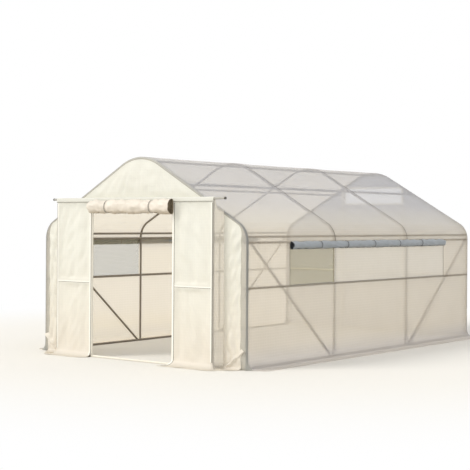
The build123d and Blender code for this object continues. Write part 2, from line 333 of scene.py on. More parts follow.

# %% [markdown]
# A long wall is painted with dark lines of shade where its rails lie behind it. They lie at the rails' own
# heights, so they are extra stops among the wall's tones.

# %% Painted rail shade
# Painted shade of each rail: its dark tone, with the wall's tone just beside it.
rail_shade_tones = {"side_rails": "#7C756B", "window_head_rails": "#B2ABA1", "eave_purlins": "#B2ABA1"}
shade_line_half = 0.008
shade_line_fade = 0.005
wall_tone = "#F7F2EA"


def with_painted_rail_shade(tones):
    """Adds to the tones of a long wall the painted dark lines of shade where its rails lie behind it."""
    marked = dict(tones)
    for rail, line_shade in rail_shade_tones.items():
        middle = (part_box(rail)[0].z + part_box(rail)[1].z) / 2
        for offset, colour in ((shade_line_half + shade_line_fade, wall_tone), (shade_line_half, line_shade)):
            marked[middle - offset] = colour
            marked[middle + offset] = colour
    return dict(sorted(marked.items()))


# Painted light in the long cover's tones: a darker lavender foot for shade and sky reflection on the hem, the
# wall's warm cream, and a cool grey roof.
cover_tones = {0.0: "#DCDCE6", 0.11: "#DEDDE4", 0.23: "#F3EDE5", 1.25: wall_tone, 1.55: "#E9E9E9"}
cover_tones |= {1.75: "#D8DAE5", 2.2: "#D2D5E2"}
marked_tones = with_painted_rail_shade(cover_tones)
print("the long cover has", len(marked_tones), "tones by height")

# %% [markdown]
# All films are the same kind of cloth, and differ in how clear, doubled or dirty they are, and in the shade
# and light painted into their tones. Tones and glow are given by height. The three shares that follow are
# how much of the face glows, how much of it hides what is behind, and what the grid hides besides.

# %% Films
# The glow is painted light too: warm on the walls, cooler and greyer over the roof.
cover_glow = {0.0: "#FFF9EE", 1.35: "#FFF9EE", 1.6: "#F9F6F1", 1.8: "#F3F3F3", 2.2: "#F0F1F3"}
pane_tones = {0.0: "#FAF6EF", 2.2: "#FCF9F3"}
cream_tones = {0.0: "#F7F1E7", 0.6: "#F7F5EC", 1.2: "#F8F9F2", 2.2: "#F8F9F3"}
border_tones = {0.0: "#D6D6D0", 1.3: "#DEDDD8", 2.2: "#E4E3DE"}
hem_tones = {0.0: "#B8B9B4", 1.2: "#A0A2A0", 1.45: "#A6A7A7", 1.8: "#CDCDCB", 2.2: "#DCDCD8"}
# The back wall's tones are painted shade, cooler and greyer towards the top.
back_tones = {0.0: "#E8E5DF", 1.3: "#E6E5E2", 1.9: "#D3D6E0", 2.2: "#CED1DC"}
# The curtain darkens to brown towards its underside as painted shade.
white_tones = {1.595: "#7D705E", 1.615: "#BFB29E", 1.65: "#E2D8C9", 1.70: "#EEE6DA"}
# The curtain's inner turns: brown, partly dirt and partly painted shade.
dirt_and_shade_tones = {0.0: "#A89A84", 2.2: "#9A8C76"}
# The flaps' outside is blue-grey, painted darker towards the underside as shade.
flap_tones = {1.24: "#969DA5", 1.33: "#B0B7BE"}
# The flaps' inner turns: painted shade, nearly black.
shade_tones = {1.24: "#4C5056", 1.33: "#52575D"}
sunny = "#FAEED3"
# The cover is milky: tubes behind it show as soft grey lines, and the lamp's side has a warm painted glow.
clear_film = woven_film("clear woven polyethylene", marked_tones, cover_glow, 0.52, 0.45, 0.03, sunny)
# Over a hoop it is painted dark as the hoop's shade, which draws the hoop as a dark line across the roof.
hoop_shade_film = woven_film("woven polyethylene with painted hoop shade", {0.0: "#77736E"}, {0.0: "#D2CDC5"}, 0.45, 0.58, 0.03)
# Its border lies double on the end wall, so it is greyer there and less clear.
border_film = woven_film("bordered woven polyethylene", border_tones, {0.0: "#E6E1D6"}, 0.5, 0.62, 0.02)
# Its fold round an end hoop is doubled over dark tube, which outlines the tunnel in grey.
hem_film = woven_film("doubled woven polyethylene", hem_tones, {0.0: "#CFCCC4"}, 0.3, 0.80, 0.01)
# Window panes and cheeks are the brightest film, and clear enough for tubes to show; the lamp's side has a
# warm painted glow.
pane_film = woven_film("bright woven polyethylene", pane_tones, {0.0: "#FFFCF5"}, 0.55, 0.47, 0.03, sunny)
# The front is a denser cream cloth, which hides the tubes and looks like soft paper.
cream_film = woven_film("cream woven polyethylene", cream_tones, {0.0: "#F8F4EA"}, 0.25, 0.90, 0.02)
# The back wall is dense too, and painted cool and grey as cloth in the shade, greyer towards the top.
back_film = woven_film("woven polyethylene with painted back wall shade", back_tones, {0.0: "#E6E8EE"}, 0.25, 0.86, 0.02)
# The curtain's outside is white and opaque, and painted brown underneath as shade.
curtain_film = woven_film("white woven polyethylene", white_tones, {0.0: "#F8F4EA"}, 0.05, 0.98, 0.01)
# Its inside is brown, partly with dirt and partly as painted shade, so the turns show as dark rings at the
# roll's end.
dirt_and_shade_film = woven_film("soiled and shaded woven polyethylene", dirt_and_shade_tones, {0.0: "#9A8C76"}, 0.1, 0.98, 0.01)
# The flaps are blue-grey outside, painted darker underneath as shade: a dull band along the bright wall.
flap_film = woven_film("grey woven polyethylene", flap_tones, {0.0: "#B0B7BE"}, 0.1, 0.98, 0.01)
# Inside, between a flap's turns, it is painted nearly black as deep shade.
shaded_film = woven_film("woven polyethylene in painted shade", shade_tones, {0.0: "#52575D"}, 0.1, 0.98, 0.01)
print("films:", clear_film.name, cream_film.name, curtain_film.name, dirt_and_shade_film.name, flap_film.name)

# %% [markdown]
# ## Other finishes
# The frame is thin steel tube with a taupe powder coat: slightly satin, with the faint orange-peel that
# baked powder leaves. Bindings and ties are polyester tape, and the bar's end caps are moulded
# polyethylene. One function makes them all, because they differ only in colour, shine and the size of
# their relief.

# %% Solid finishes
peel_fineness = 20
sheen_swing = 0.08


def solid_finish(name, light, dark, patch, roughness, relief_height):
    """An opaque finish: two close colours in soft patches, with a fine relief of the same kind."""
    material = bpy.data.materials.new(name)
    tree = empty_tree(material)
    spot = node(tree, "ShaderNodeTexCoord").outputs["Object"]
    patches = node(tree, "ShaderNodeTexNoise", {"Vector": spot, "Scale": 1 / patch, "Detail": 4})
    tones = {0: patches.outputs["Fac"], 6: linear(light), 7: linear(dark)}
    colour = node(tree, "ShaderNodeMix", tones, data_type="RGBA")
    peel = node(tree, "ShaderNodeTexNoise", {"Vector": spot, "Scale": peel_fineness / patch, "Detail": 2})
    height = node(tree, "ShaderNodeMath", {0: peel.outputs["Fac"], 1: relief_height}, operation="MULTIPLY")
    bump = node(tree, "ShaderNodeBump", {"Height": height.outputs[0], "Strength": 0.5, "Distance": 1})
    limits = {"To Min": roughness - sheen_swing, "To Max": roughness + sheen_swing}
    rough = node(tree, "ShaderNodeMapRange", {"Value": patches.outputs["Fac"], **limits})
    coat = {"Base Color": colour.outputs[2], "Roughness": rough.outputs[0], "Normal": bump.outputs[0]}
    body = node(tree, "ShaderNodeBsdfPrincipled", coat)
    node(tree, "ShaderNodeOutputMaterial", {"Surface": body.outputs[0]})
    return material


# Taupe coat on most tubes: a soft satin line along each one, broken by faint orange-peel.
coated_steel = solid_finish("taupe powder coated steel", "#8F867A", "#7B7266", 0.060, 0.42, 0.0002)
# White coat at the doorway and on the back wall: the tubes almost vanish behind pale film.
white_steel = solid_finish("white powder coated steel", "#EFEBDF", "#E2DDCF", 0.060, 0.40, 0.0002)
# Pale coat on the top bar: a bar only a little darker than the sleeve it runs in.
pale_steel = solid_finish("pale powder coated steel", "#B3B0A8", "#A19E96", 0.060, 0.42, 0.0002)
# Moulded caps: two matt dark dots that end the bar.
cap_plastic = solid_finish("moulded grey polyethylene", "#57534C", "#47433D", 0.020, 0.50, 0.0001)
# White tape: a chalky edge that outlines the front panels.
white_tape = solid_finish("white polyester tape", "#F8F6EE", "#EFECE2", 0.012, 0.70, 0.0003)
# Grey tape: zips, piping and seams as thin dull lines, and a painted shadow line under the rail tape.
grey_tape = solid_finish("grey polyester tape", "#98938A", "#858178", 0.012, 0.70, 0.0003)
# Dark tape: ties that show as dark stripes across the flaps.
dark_tape = solid_finish("dark grey polyester tape", "#5E5C5A", "#4C4A48", 0.012, 0.70, 0.0003)

other_finish = {"bar_caps": cap_plastic, "threshold_bar": white_steel, "door_posts": white_steel}
other_finish["porch_top_bar"] = pale_steel
for name in ("front_base_rails", "back_posts", "back_rails"):
    other_finish[name] = white_steel
for name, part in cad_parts.items():
    part.data.materials.clear()
    part.data.materials.append(other_finish.get(name, coated_steel))
print("finished", len(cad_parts), "nodes")

# %% [markdown]
# The windows and the vent are knitted insect net. Its holes could be modelled, but they are a millimetre
# wide, so a pattern that makes the surface partly clear does the same for the eye.

# %% Insect net
net_spacing = 0.016
knit_edge = 0.6
knit_share = 0.1


def insect_net(name, thread, veil):
    """Knitted net: its threads are 1 mm apart, drawn coarser over a veil that stands for the fine ones."""
    material = bpy.data.materials.new(name)
    tree = empty_tree(material)
    flat = node(tree, "ShaderNodeTexCoord").outputs["UV"]
    waves = []
    for direction in ("X", "Y"):
        scale = {"Vector": flat, "Scale": wave_period / net_spacing}
        waves.append(node(tree, "ShaderNodeTexWave", scale, bands_direction=direction).outputs["Fac"])
    knit = node(tree, "ShaderNodeMath", {0: waves[0], 1: waves[1]}, operation="MAXIMUM")
    limits = {"From Min": knit_edge, "To Min": veil, "To Max": veil + knit_share}
    hidden = node(tree, "ShaderNodeMapRange", {"Value": knit.outputs[0], **limits})
    body = node(tree, "ShaderNodeBsdfPrincipled", {"Base Color": linear(thread), "Roughness": 0.6})
    clear = node(tree, "ShaderNodeBsdfTransparent")
    seen = node(tree, "ShaderNodeMixShader", {0: hidden.outputs[0], 1: clear.outputs[0], 2: body.outputs[0]})
    node(tree, "ShaderNodeOutputMaterial", {"Surface": seen.outputs[0]})
    return material


# The windows' net is a straw-coloured haze, with the tubes plain to see behind it.
net = insect_net("knitted insect net", "#C2BC9F", 0.28)
# The vent's net is finer still, and only a breath of white shows.
fine_net = insect_net("fine insect net", "#E6E6DE", 0.02)
print("net threads drawn", 1000 * net_spacing, "mm apart")

# %% [markdown]
# ## Laying cloth
# Every soft piece starts as a flat grid. The grid's lines sit at chosen distances across and along the
# cut, so that folds, openings and edges fall on a line. Then each point is laid where the frame carries
# it. A real cloth is not perfectly tight, so small smooth ripples are added where nothing holds it. The
# flat measure is kept as the UV map. Openings are faces taken out of the grid: a boolean cut would leave
# odd slivers along the edge.

# %% Helpers for cloth
fold_angle = radians(40)


def steps(*stops, size):
    """Distances from stop to stop, about one size apart, with every stop kept."""
    marks = [stops[0]]
    for start, end in zip(stops, stops[1:]):
        count = max(1, round(abs(end - start) / size))
        marks += [start + (end - start) * (i + 1) / count for i in range(count)]
    return marks


def framed(marks, width):
    """The same marks with one more at each end, for a tape of this width round an opening."""
    return [marks[0] - width, *marks, marks[-1] + width]


def ripple(u, v, width, length, seed):
    """A smooth wave between about -1 and 1 that changes over a width and a length."""
    return noise.noise(Vector((u / width, v / length, seed)))


def ease(share):
    """0 up to 1 with a soft start and end."""
    share = min(max(share, 0), 1)
    return share * share * (3 - 2 * share)


def lay_cloth(name, across, along, place, trim=None, hole=None):
    """A cloth of the given grid, trimmed to its cut, laid where place says, and as thick as the film."""
    bpy.ops.object.select_all(action="DESELECT")
    bpy.ops.mesh.primitive_grid_add(x_subdivisions=len(across) - 1, y_subdivisions=len(along) - 1, size=1)
    cloth = bpy.context.object
    cloth.name = cloth.data.name = name
    cut = []
    for point in cloth.data.vertices:
        u = across[round((point.co.x + 0.5) * (len(across) - 1))]
        v = along[round((point.co.y + 0.5) * (len(along) - 1))]
        cut.append(trim(u, v) if trim else (u, v))
        point.co = place(*cut[-1])
    for corner in cloth.data.loops:
        cloth.data.uv_layers.active.data[corner.index].uv = cut[corner.vertex_index]
    if hole:
        cut_holes(cloth, hole)
    cloth["width"] = max(u for u, v in cut) - min(u for u, v in cut)
    cloth["length"] = max(v for u, v in cut) - min(v for u, v in cut)
    bpy.ops.object.mode_set(mode="EDIT")
    bpy.ops.mesh.select_all(action="SELECT")
    bpy.ops.mesh.remove_doubles(threshold=film / 4)
    bpy.ops.object.mode_set(mode="OBJECT")
    cloth["area"] = flat_area(cloth)
    bpy.ops.object.modifier_add(type="SOLIDIFY")
    cloth.modifiers[0].thickness = film
    cloth.modifiers[0].offset = 0
    bpy.ops.object.modifier_apply(modifier=cloth.modifiers[0].name)
    bpy.ops.object.shade_smooth_by_angle(angle=fold_angle)
    return cloth


def flat_corners(cloth, face):
    """The corners of a face in the flat measure."""
    return [cloth.data.uv_layers.active.data[i].uv for i in face.loop_indices]


def flat_middle(cloth, face):
    """The middle of a face in the flat measure."""
    corners = flat_corners(cloth, face)
    return sum(corners, Vector((0, 0))) / len(corners)


def flat_area(cloth):
    """The area of the cut, from its flat measure."""
    total = 0
    for face in cloth.data.polygons:
        corners = flat_corners(cloth, face)
        turns = [a.x * b.y - b.x * a.y for a, b in zip(corners, corners[1:] + corners[:1])]
        total += abs(sum(turns)) / 2
    return total


def cut_holes(cloth, hole):
    """Deletes the faces whose middle, in the flat measure, is in a hole."""
    bpy.ops.object.mode_set(mode="EDIT")
    bpy.ops.mesh.select_mode(type="FACE")
    bpy.ops.mesh.select_all(action="DESELECT")
    bpy.ops.object.mode_set(mode="OBJECT")
    for face in cloth.data.polygons:
        face.select = hole(*flat_middle(cloth, face))
    bpy.ops.object.mode_set(mode="EDIT")
    bpy.ops.mesh.delete(type="FACE")
    bpy.ops.object.mode_set(mode="OBJECT")


def standing_off(place, gap, facing):
    """Where a tape lies that is sewn on a cloth, a gap away from it on the side that facing points to."""
    probe = 0.001

    def tape_place(u, v):
        across = place(u + probe, v) - place(u - probe, v)
        along = place(u, v + probe) - place(u, v - probe)
        normal = across.cross(along).normalized()
        return place(u, v) + normal * (gap if normal.dot(facing) > 0 else -gap)

    return tape_place


def dress(piece, finish, slot, *nodes):
    """Gives a piece its finish, rests it on the frame, and lets it stand for its CAD nodes; slot is not used.
    """
    piece.data.materials.append(finish)
    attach(piece, "root")
    if nodes:
        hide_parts(*nodes)
    low, high = Vector(piece.bound_box[0]), Vector(piece.bound_box[6])
    print(f"{piece.name}: {len(piece.data.polygons)} faces, {low.to_tuple(3)} to {high.to_tuple(3)}")
    return piece


tape_gap = 1.5 * film
sides = ((1, "right"), (-1, "left"))
print("film thickness", 1000 * film, "mm")

# %% [markdown]
# ## Slack in the end walls
# The end walls hang from the hoop and are nowhere quite flat. Over the door the film creases in a fan,
# and beside the door it falls in upright folds. These shapes come first, because the border of the long
# cover lies on them. A ripple is given by its width, its length and a seed of its own, so no two folds
# repeat each other.

# %% Slack in the end walls
porch_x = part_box("porch_posts")[1].x - tube
porch_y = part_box("porch_posts")[1].y - tube
bar_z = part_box("porch_top_bar")[1].z - tube
cheek_flare = 0.030
strip_inset = 0.055
strip_x = porch_x + end_gap + cheek_flare + film
strip_edge = half_width - strip_inset
gable_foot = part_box("front_gable")[0].z
gable_x = rafter_head.x + (rafter_head.z - gable_foot) / tan(slope)
# How far from a held edge the film is free.
side_hold = 0.10
top_hold = 0.15
gable_hold = 0.08
strip_hold = 0.10
back_hold = 0.20
# How deep the folds are, how they lean, and their ripples.
mean_fold = 0.6
gable_depth = 0.018
fan_rise = 0.3
fan_crease = (0.10, 0.6, 6)
fine_crease = (0.10, 0.10, 7)
upright_depth = 0.030
upright_lean = 0.15
upright_fold = (0.10, 0.8, 8)
slant_depth = 0.022
slant_lean = 0.5
slant_fold = (0.08, 0.20, 9)
back_depth = 0.014
back_fold = (0.22, 0.7, 10)


def loose(x, z, low_x, high_x):
    """0 where an end wall is held at its sides and top, and 1 in its middle."""
    sides_free = ease((x - low_x) / side_hold) * ease((high_x - x) / side_hold)
    return sides_free * ease((hoop_height(x) - z) / top_hold)


def front_bow(x, z):
    """How far the front end wall stands out from its plane."""
    if abs(x) < gable_x and z > gable_foot:
        fan = atan2(x, ridge + fan_rise - z)
        crease = ripple(fan, z, *fan_crease) + 0.5 * ripple(x, z, *fine_crease)
        fold = gable_depth * max(mean_fold + crease, 0)
        return fold * loose(x, z, -gable_x, gable_x) * ease((z - gable_foot) / gable_hold)
    x = abs(x)
    fold = upright_depth * ripple(x + upright_lean * z, z, *upright_fold)
    fold += slant_depth * ripple(x - slant_lean * z, z, *slant_fold)
    return abs(fold) * loose(x, z, strip_x, half_width) * ease(z / strip_hold)


def back_bow(x, z):
    """How far the back end wall stands out: a slack belly with soft upright folds."""
    fold = back_depth * max(mean_fold + ripple(x, z, *back_fold), 0)
    return fold * loose(x, z, -half_width, half_width) * ease(z / back_hold)


print(f"end wall strips start {strip_x:.3f} m from the middle")

# %% [markdown]
# ## The long cover
# One sheet runs from the hem on the right, up the wall, over the roof and down to the hem on the left.
# Between hoops it hangs a little slack. At both ends it turns round the last hoop and ends in a border on
# the end wall, narrow along the rafters and wider down the legs. At its foot it turns outwards and lies
# on the ground, where it would be weighed down. The foot of every wall is bent the same way, so that bend
# is a function of its own.

# %% Foot of a wall
side_foot = 0.110
end_foot = 0.050
lift = 0.0015
hem_corner = 0.13


def foot(height, radius):
    """How far out and how high a wall's film is, where height below the bend runs on along the ground."""
    if height >= radius:
        return 0, height
    beyond = radius - height
    angle = min(beyond / radius, pi / 2)
    out = radius * (1 - cos(angle)) + max(beyond - radius * pi / 2, 0)
    return out, lift + (radius - lift) * (1 - sin(angle))


def hem_height(reach, radius):
    """The height, in that measure, of a hem that reaches out this far along the ground."""
    return 2 * radius - radius * pi / 2 - reach


def cut_round(distance, corner):
    """How much a hem is cut back at a distance from its end, so that its corner is round."""
    return corner - sqrt(corner**2 - max(corner - max(distance, 0), 0) ** 2)


side_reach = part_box("side_skirts")[1].x - half_width - cover_gap - film
end_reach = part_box("back_skirt")[1].y - back_y - end_gap - film
print(f"hems reach {side_reach:.3f} m at the sides and {end_reach:.3f} m at the ends")

# %% [markdown]
# On the roof the cover sags between hoops until the purlins carry it, least at the ridge and at the
# eaves. On a wall the braces stop it from being drawn in further, and its hem holds it still near the
# foot.

# %% Shape of the long cover
rail_gap = half_width + cover_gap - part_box("side_rails")[1].x - film
brace_gap = half_width + cover_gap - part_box("wall_braces")[1].x - film
rafter_border = 0.012
leg_border = 0.065
wrap_run = cover_gap * pi / 2
hem_end = wall_start + leg_height - hem_height(side_reach, side_foot)
slack_spread = 1.3
least_sag = 0.15
rafter_sag = 0.75
ridge_hold = 0.6
eave_hold = 0.4
calm_start = 0.7 * leg_height
calm_run = 0.2 * leg_height
wave_height = 0.006
broad_wave = (0.35, 0.8, 1)
small_wave = (0.16, 0.3, 2)
hem_swing = 0.06
hem_sway = (0.4, 1, 3)
hump_height = 0.015
hem_hump = (0.25, 0.2, 4)


def slack(y):
    """0 on a hoop and 1 over most of the bay between two."""
    share = ((y - front_y) / bay) % 1
    return ease(4 * share * (1 - share) * slack_spread)


def bulge(distance, y):
    """How far the long cover stands out: the roof sags to its purlins, and the braces hold a wall."""
    run = abs(distance)
    low = ease((run - eave_start) / (wall_start - eave_start))
    free = ease(run / ridge_hold) * ease((eave_start - run) / eave_hold)
    drawn = (least_sag + rafter_sag * free) * (1 - low)
    wave = ripple(distance, y, *broad_wave) + 0.5 * ripple(distance, y, *small_wave)
    moving = 1 - ease((run - wall_start - calm_start) / calm_run)
    limit = rail_gap + (brace_gap - rail_gap) * low
    return -slack(y) * min(rail_gap * drawn - wave_height * wave * moving, limit)


def cover_trim(distance, along):
    """Cuts the cover's ends to the border's width, and its hem's corners round."""
    down = ease((abs(distance) - eave_start) / (wall_start - eave_start))
    width = rafter_border + (leg_border - rafter_border) * down
    start, end = -wrap_run, tunnel_length + wrap_run
    if along < start:
        along = start + (along - start) * width / leg_border
    if along > end:
        along = end + (along - end) * width / leg_border
    limit = hem_end - cut_round(min(along, tunnel_length - along), hem_corner)
    return min(max(distance, -limit), limit), along


def cover_place(distance, along):
    """Where a point of the long cover lies, from its distances round the hoop and along the tunnel."""
    side = 1 if distance >= 0 else -1
    end = -1 if along < tunnel_length / 2 else 1
    beyond = max(-along, along - tunnel_length, 0)
    turn = min(beyond / cover_gap, pi / 2)
    border = max(beyond - wrap_run, 0)
    y = front_y + min(max(along, 0), tunnel_length)
    wrap = Vector((0, end * cover_gap * sin(turn), 0))
    inward = cover_gap * (1 - cos(turn)) + border
    height = leg_height + wall_start - abs(distance)
    if height >= side_foot:
        point, out = round_the_hoop(distance)
        point = point + Vector((0, y, 0)) + out * (bulge(distance, y) - inward) + wrap
    else:
        flare = 1 - turn / (pi / 2)
        reach, z = foot(height, side_foot)
        hump = hump_height * max(ripple(y, reach, *hem_hump), 0) * ease((reach - side_foot) / side_reach)
        z = (z + hump) * flare + max(height, lift) * (1 - flare)
        spread = reach * flare * (1 + hem_swing * ripple(y, 0, *hem_sway))
        point = Vector((side * (half_width + cover_gap - inward + spread), y, z)) + wrap
    if border:
        point.y += end * (front_bow if end < 0 else back_bow)(point.x, point.z)
    return point


print(f"cover is drawn in up to {1000 * rail_gap:.0f} mm between hoops")

# %% [markdown]
# Now the sheet is laid. Its grid is finer where it bends, and has lines at the windows' edges and beside
# the hoops. Then its faces get their finish: painted with the hoop's shade over a hoop, doubled round an end
# hoop, and bordered beyond it.

# %% Lay the long cover
window_low, window_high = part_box("window_mesh")[0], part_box("window_film")[1]
window_front = window_low.y - front_y
window_back = window_high.y - front_y
window_sill = wall_start + leg_height - window_low.z
window_head = wall_start + leg_height - window_high.z
bend_start = wall_start + leg_height - side_foot
bend_end = bend_start + side_foot * pi / 2
half = steps(0, crown_run, eave_start, size=0.05)
half += steps(eave_start, wall_start, size=0.025)[1:]
half += steps(wall_start, window_head, window_sill, bend_start, size=0.05)[1:]
half += steps(bend_start, bend_end, size=0.014)[1:]
half += steps(bend_end, hem_end, size=0.03)[1:]
along = steps(-wrap_run - leg_border, -wrap_run, size=0.016) + steps(-wrap_run, 0, size=0.005)[1:]
hoop_marks = [i * bay + offset for i in (1, 2) for offset in (-shade_line_half, shade_line_half)]
along += steps(0, *sorted([window_front, window_back, *hoop_marks]), tunnel_length, size=0.05)[1:]
along += [tunnel_length - y for y in reversed(along) if y < 0]


def in_window(distance, y):
    """True inside the cut-out for a side window."""
    return window_head < abs(distance) < window_sill and window_front < y < window_back


rounds = [-distance for distance in half[:0:-1]] + half
cover = lay_cloth("long_cover", rounds, along, cover_place, trim=cover_trim, hole=in_window)
dress(cover, clear_film, "cover_film", "roof_cover", "wall_cover_right", "wall_cover_left", "side_skirts")
for finish in (hoop_shade_film, hem_film, border_film):
    cover.data.materials.append(finish)
middle_z = ridge / 2
for face in cover.data.polygons:
    distance, y = flat_middle(cover, face)
    beyond = max(-y, y - tunnel_length)
    on_hoop = min(abs(y - i * bay) for i in (1, 2)) < shade_line_half and abs(distance) < wall_start
    outwards = face.normal.x * face.center.x + face.normal.z * (face.center.z - middle_z) > 0
    if beyond > 0:
        face.material_index = 3 if beyond > wrap_run else 2
    # Faces over a middle hoop get the painted shade of the hoop.
    elif on_hoop and outwards:
        face.material_index = 1

# %% [markdown]
# ## Side windows
# Each side window is a cut-out in the long cover, with insect net in its first part and clear film
# beyond. A narrow tape binds its edge. It is laid like the wall, only a little further out, so it follows
# every ripple.

# %% Window bindings
binding_width = 0.010


def wall_place(side):
    """Lays a point, given by its place along the tunnel and its height, in the slack of a long wall."""

    def place(y, z):
        return cover_place(side * (wall_start + leg_height - z), y - front_y)

    return place


def window_edge(y, z):
    """True inside a window's opening."""
    return window_low.y < y < window_high.y and window_low.z < z < window_high.z


edge_columns = framed(steps(window_low.y, window_high.y, size=0.05), binding_width)
edge_rows = framed(steps(window_low.z, window_high.z, size=0.05), binding_width)
for side, name in sides:
    tape_place = standing_off(wall_place(side), tape_gap, Vector((side, 0, 0)))
    tape = lay_cloth(f"window_binding_{name}", edge_columns, edge_rows, tape_place, hole=window_edge)
    dress(tape, grey_tape, "cover_film")

# %% [markdown]
# The panes follow the wall's own slack too, so they stay in line with the cover. The film laps over the
# leg that stands where the net ends.

# %% Window panes
net_low, net_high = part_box("window_mesh")
pane_low, pane_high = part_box("window_film")
lap_width = 0.010
leg_lap = tube + lap_width
pane_rows = steps(net_low.z, net_high.z, size=0.05)
net_columns = steps(net_low.y, net_high.y - leg_lap, size=0.05)
pane_columns = steps(pane_low.y - leg_lap, pane_high.y, size=0.05)
for side, name in sides:
    net_pane = lay_cloth(f"window_net_{name}", net_columns, pane_rows, wall_place(side))
    dress(net_pane, net, "insect_mesh", "window_mesh")
    pane = lay_cloth(f"window_pane_{name}", pane_columns, pane_rows, wall_place(side))
    dress(pane, pane_film, "cover_film", "window_film")

# %% [markdown]
# ## End walls
# The end walls are flat sheets cut to the hoop's line. At the front there is a gable over the door
# surround and a strip on each side of it; at the back there is one wall with a vent near the top. A grid
# has straight sides, so points above the hoop's line are pulled down to it, and the empty faces that
# leaves are merged away.

# %% Cut and lay an end wall
end_hem = hem_height(end_reach, end_foot)
end_hump_height = 0.012
end_hump = (0.2, 0.2, 5)


def end_place(plane_y, facing, bow):
    """Lays an end wall in its plane, facing -1 to the front or 1 to the back, bowed out by bow(x, z)."""

    def place(x, height):
        reach, z = foot(height, end_foot)
        if reach:
            z += end_hump_height * max(ripple(x, reach, *end_hump), 0) * ease(reach / end_reach)
        return Vector((x, plane_y + facing * (reach + bow(x, max(z, 0))), z))

    return place


def under_the_hoop(edge):
    """Trims a cut to the hoop's centre line, and its hem round at an edge this far from the middle."""

    def trim(x, height):
        low = end_hem + cut_round(edge - abs(x), hem_corner)
        return x, min(max(height, low), hoop_height(x))

    return trim


front_plane = front_y - end_gap
back_plane = back_y + end_gap
front_place = end_place(front_plane, -1, front_bow)
print(f"front wall at {front_plane:.4f}, back wall at {back_plane:.4f}")

# %% Front gable
gable_rows = steps(gable_foot, ridge, size=0.025)
gable_columns = steps(-gable_x, gable_x, size=0.025)
gable_trim = under_the_hoop(half_width)
gable = lay_cloth("front_gable_film", gable_columns, gable_rows, front_place, trim=gable_trim)
dress(gable, cream_film, "end_film", "front_gable")

# %% [markdown]
# At the corner's foot a strip has spare cloth, which is tucked into a slanting pocket over the cover's
# border. It is drawn as a sharp step along a slanting line, which fades out below it.

# %% Front strips
tuck_height = 0.22
tuck_zone = 0.1
tuck_start = 0.2
tuck_step = 0.020
tuck_depth = 0.055
tuck_floor = 0.4
tuck_spread = 0.055
tuck_fade = 0.09
tuck_lift = 0.05
strip_rows = steps(end_hem, end_foot, size=0.012)
strip_rows += steps(end_foot, tuck_height + tuck_zone, size=0.010)[1:]
strip_rows += steps(tuck_height + tuck_zone, hoop_height(strip_x), size=0.025)[1:]


def strip_place(x, height):
    """Lays a strip, with its lower corner pulled out over the cover's border in a slanting tuck."""
    share = (abs(x) - strip_x) / (strip_edge - strip_x)
    below = tuck_height * share - height
    pulled = ease(below / tuck_step) * ease(share / tuck_start)
    crest = 1 - ease(below / tuck_fade)
    depth = tuck_floor + (1 - tuck_floor) * crest
    point = front_place(x, height)
    point.x += tuck_spread * pulled * share * crest * (1 if x > 0 else -1)
    point.y -= tuck_depth * pulled * depth * (1 - 0.5 * share) * ease(point.z / tuck_lift)
    return point


for side, name in sides:
    columns = steps(side * strip_x, side * strip_edge, size=0.010)
    strip_trim = under_the_hoop(strip_edge)
    strip = lay_cloth(f"front_strip_{name}", columns, strip_rows, strip_place, trim=strip_trim)
    dress(strip, cream_film, "end_film", f"front_wall_{name}", "front_skirts")

# %% [markdown]
# The back wall is one plain sheet, with a net vent near its top. White tape binds the vent on both faces,
# because it is seen from outside and, through the roof, from inside.

# %% Back wall
vent_low, vent_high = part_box("back_vent_mesh")
back_rows = steps(end_hem, end_foot, size=0.015)
back_rows += steps(end_foot, vent_low.z, vent_high.z, ridge, size=0.045)[1:]
back_columns = steps(-half_width, vent_low.x, vent_high.x, half_width, size=0.045)
back_place = end_place(back_plane, 1, back_bow)
back_trim = under_the_hoop(half_width)


def in_vent(x, z):
    """True inside the cut-out for the vent."""
    return abs(x) < vent_high.x and vent_low.z < z < vent_high.z


back = lay_cloth("back_end_wall", back_columns, back_rows, back_place, trim=back_trim, hole=in_vent)
dress(back, back_film, "end_film", "back_wall", "back_skirt")

# %% Vent
vent_tape_width = 0.022
vent_columns = steps(vent_low.x, vent_high.x, size=0.045)
vent_rows = steps(vent_low.z, vent_high.z, size=0.045)
tape_columns = framed(vent_columns, vent_tape_width)
tape_rows = framed(vent_rows, vent_tape_width)
for facing, name in ((1, "outside"), (-1, "inside")):
    tape_place = standing_off(back_place, tape_gap, Vector((0, facing, 0)))
    tape = lay_cloth(f"vent_binding_{name}", tape_columns, tape_rows, tape_place, hole=in_vent)
    dress(tape, white_tape, "end_film")
vent = lay_cloth("back_vent_net", vent_columns, vent_rows, back_place)
dress(vent, fine_net, "insect_mesh", "back_vent_mesh")

# %% [markdown]
# ## Door surround
# In front of the end wall stands a shallow box of film. On each side one sheet covers the front from the
# door post to the corner post, turns round it, and runs back to the end wall as a clearer cheek. It is
# drawn in between the rails, so the rails show as soft ridges. Its foot turns outwards and lies on the
# ground as a skirt. The sheet is measured along its own run from the doorway, so one function can lay it
# round the corner.

# %% Shape of a panel and its cheek
door_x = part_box("door_posts")[1].x - tube
rail_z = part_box("porch_rails")[1].z - tube
panel_foot = 0.070
doorway_corner = {1: 0.03, -1: 0.13}
front_run = porch_x - door_x
turn_run = end_gap * pi / 2
cheek_run = front_plane - porch_y
porch_reach = porch_y - end_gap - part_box("front_skirts")[0].y
panel_hem = hem_height(porch_reach, panel_foot)
sleeve_radius = tube + cover_clearance
wing_top = bar_z + sleeve_radius - film
wing_foot = hoop_height(strip_x) + cover_gap / cos(slope)
notch = tube + 0.001
sink_power = 10


def wing_sink(back):
    """How far, as a share, the surround's top has sunk at its side, this far behind the bar."""
    share = min(max((back - notch) / (cheek_run - notch), 0), 1)
    return 1 - (1 - share) ** sink_power


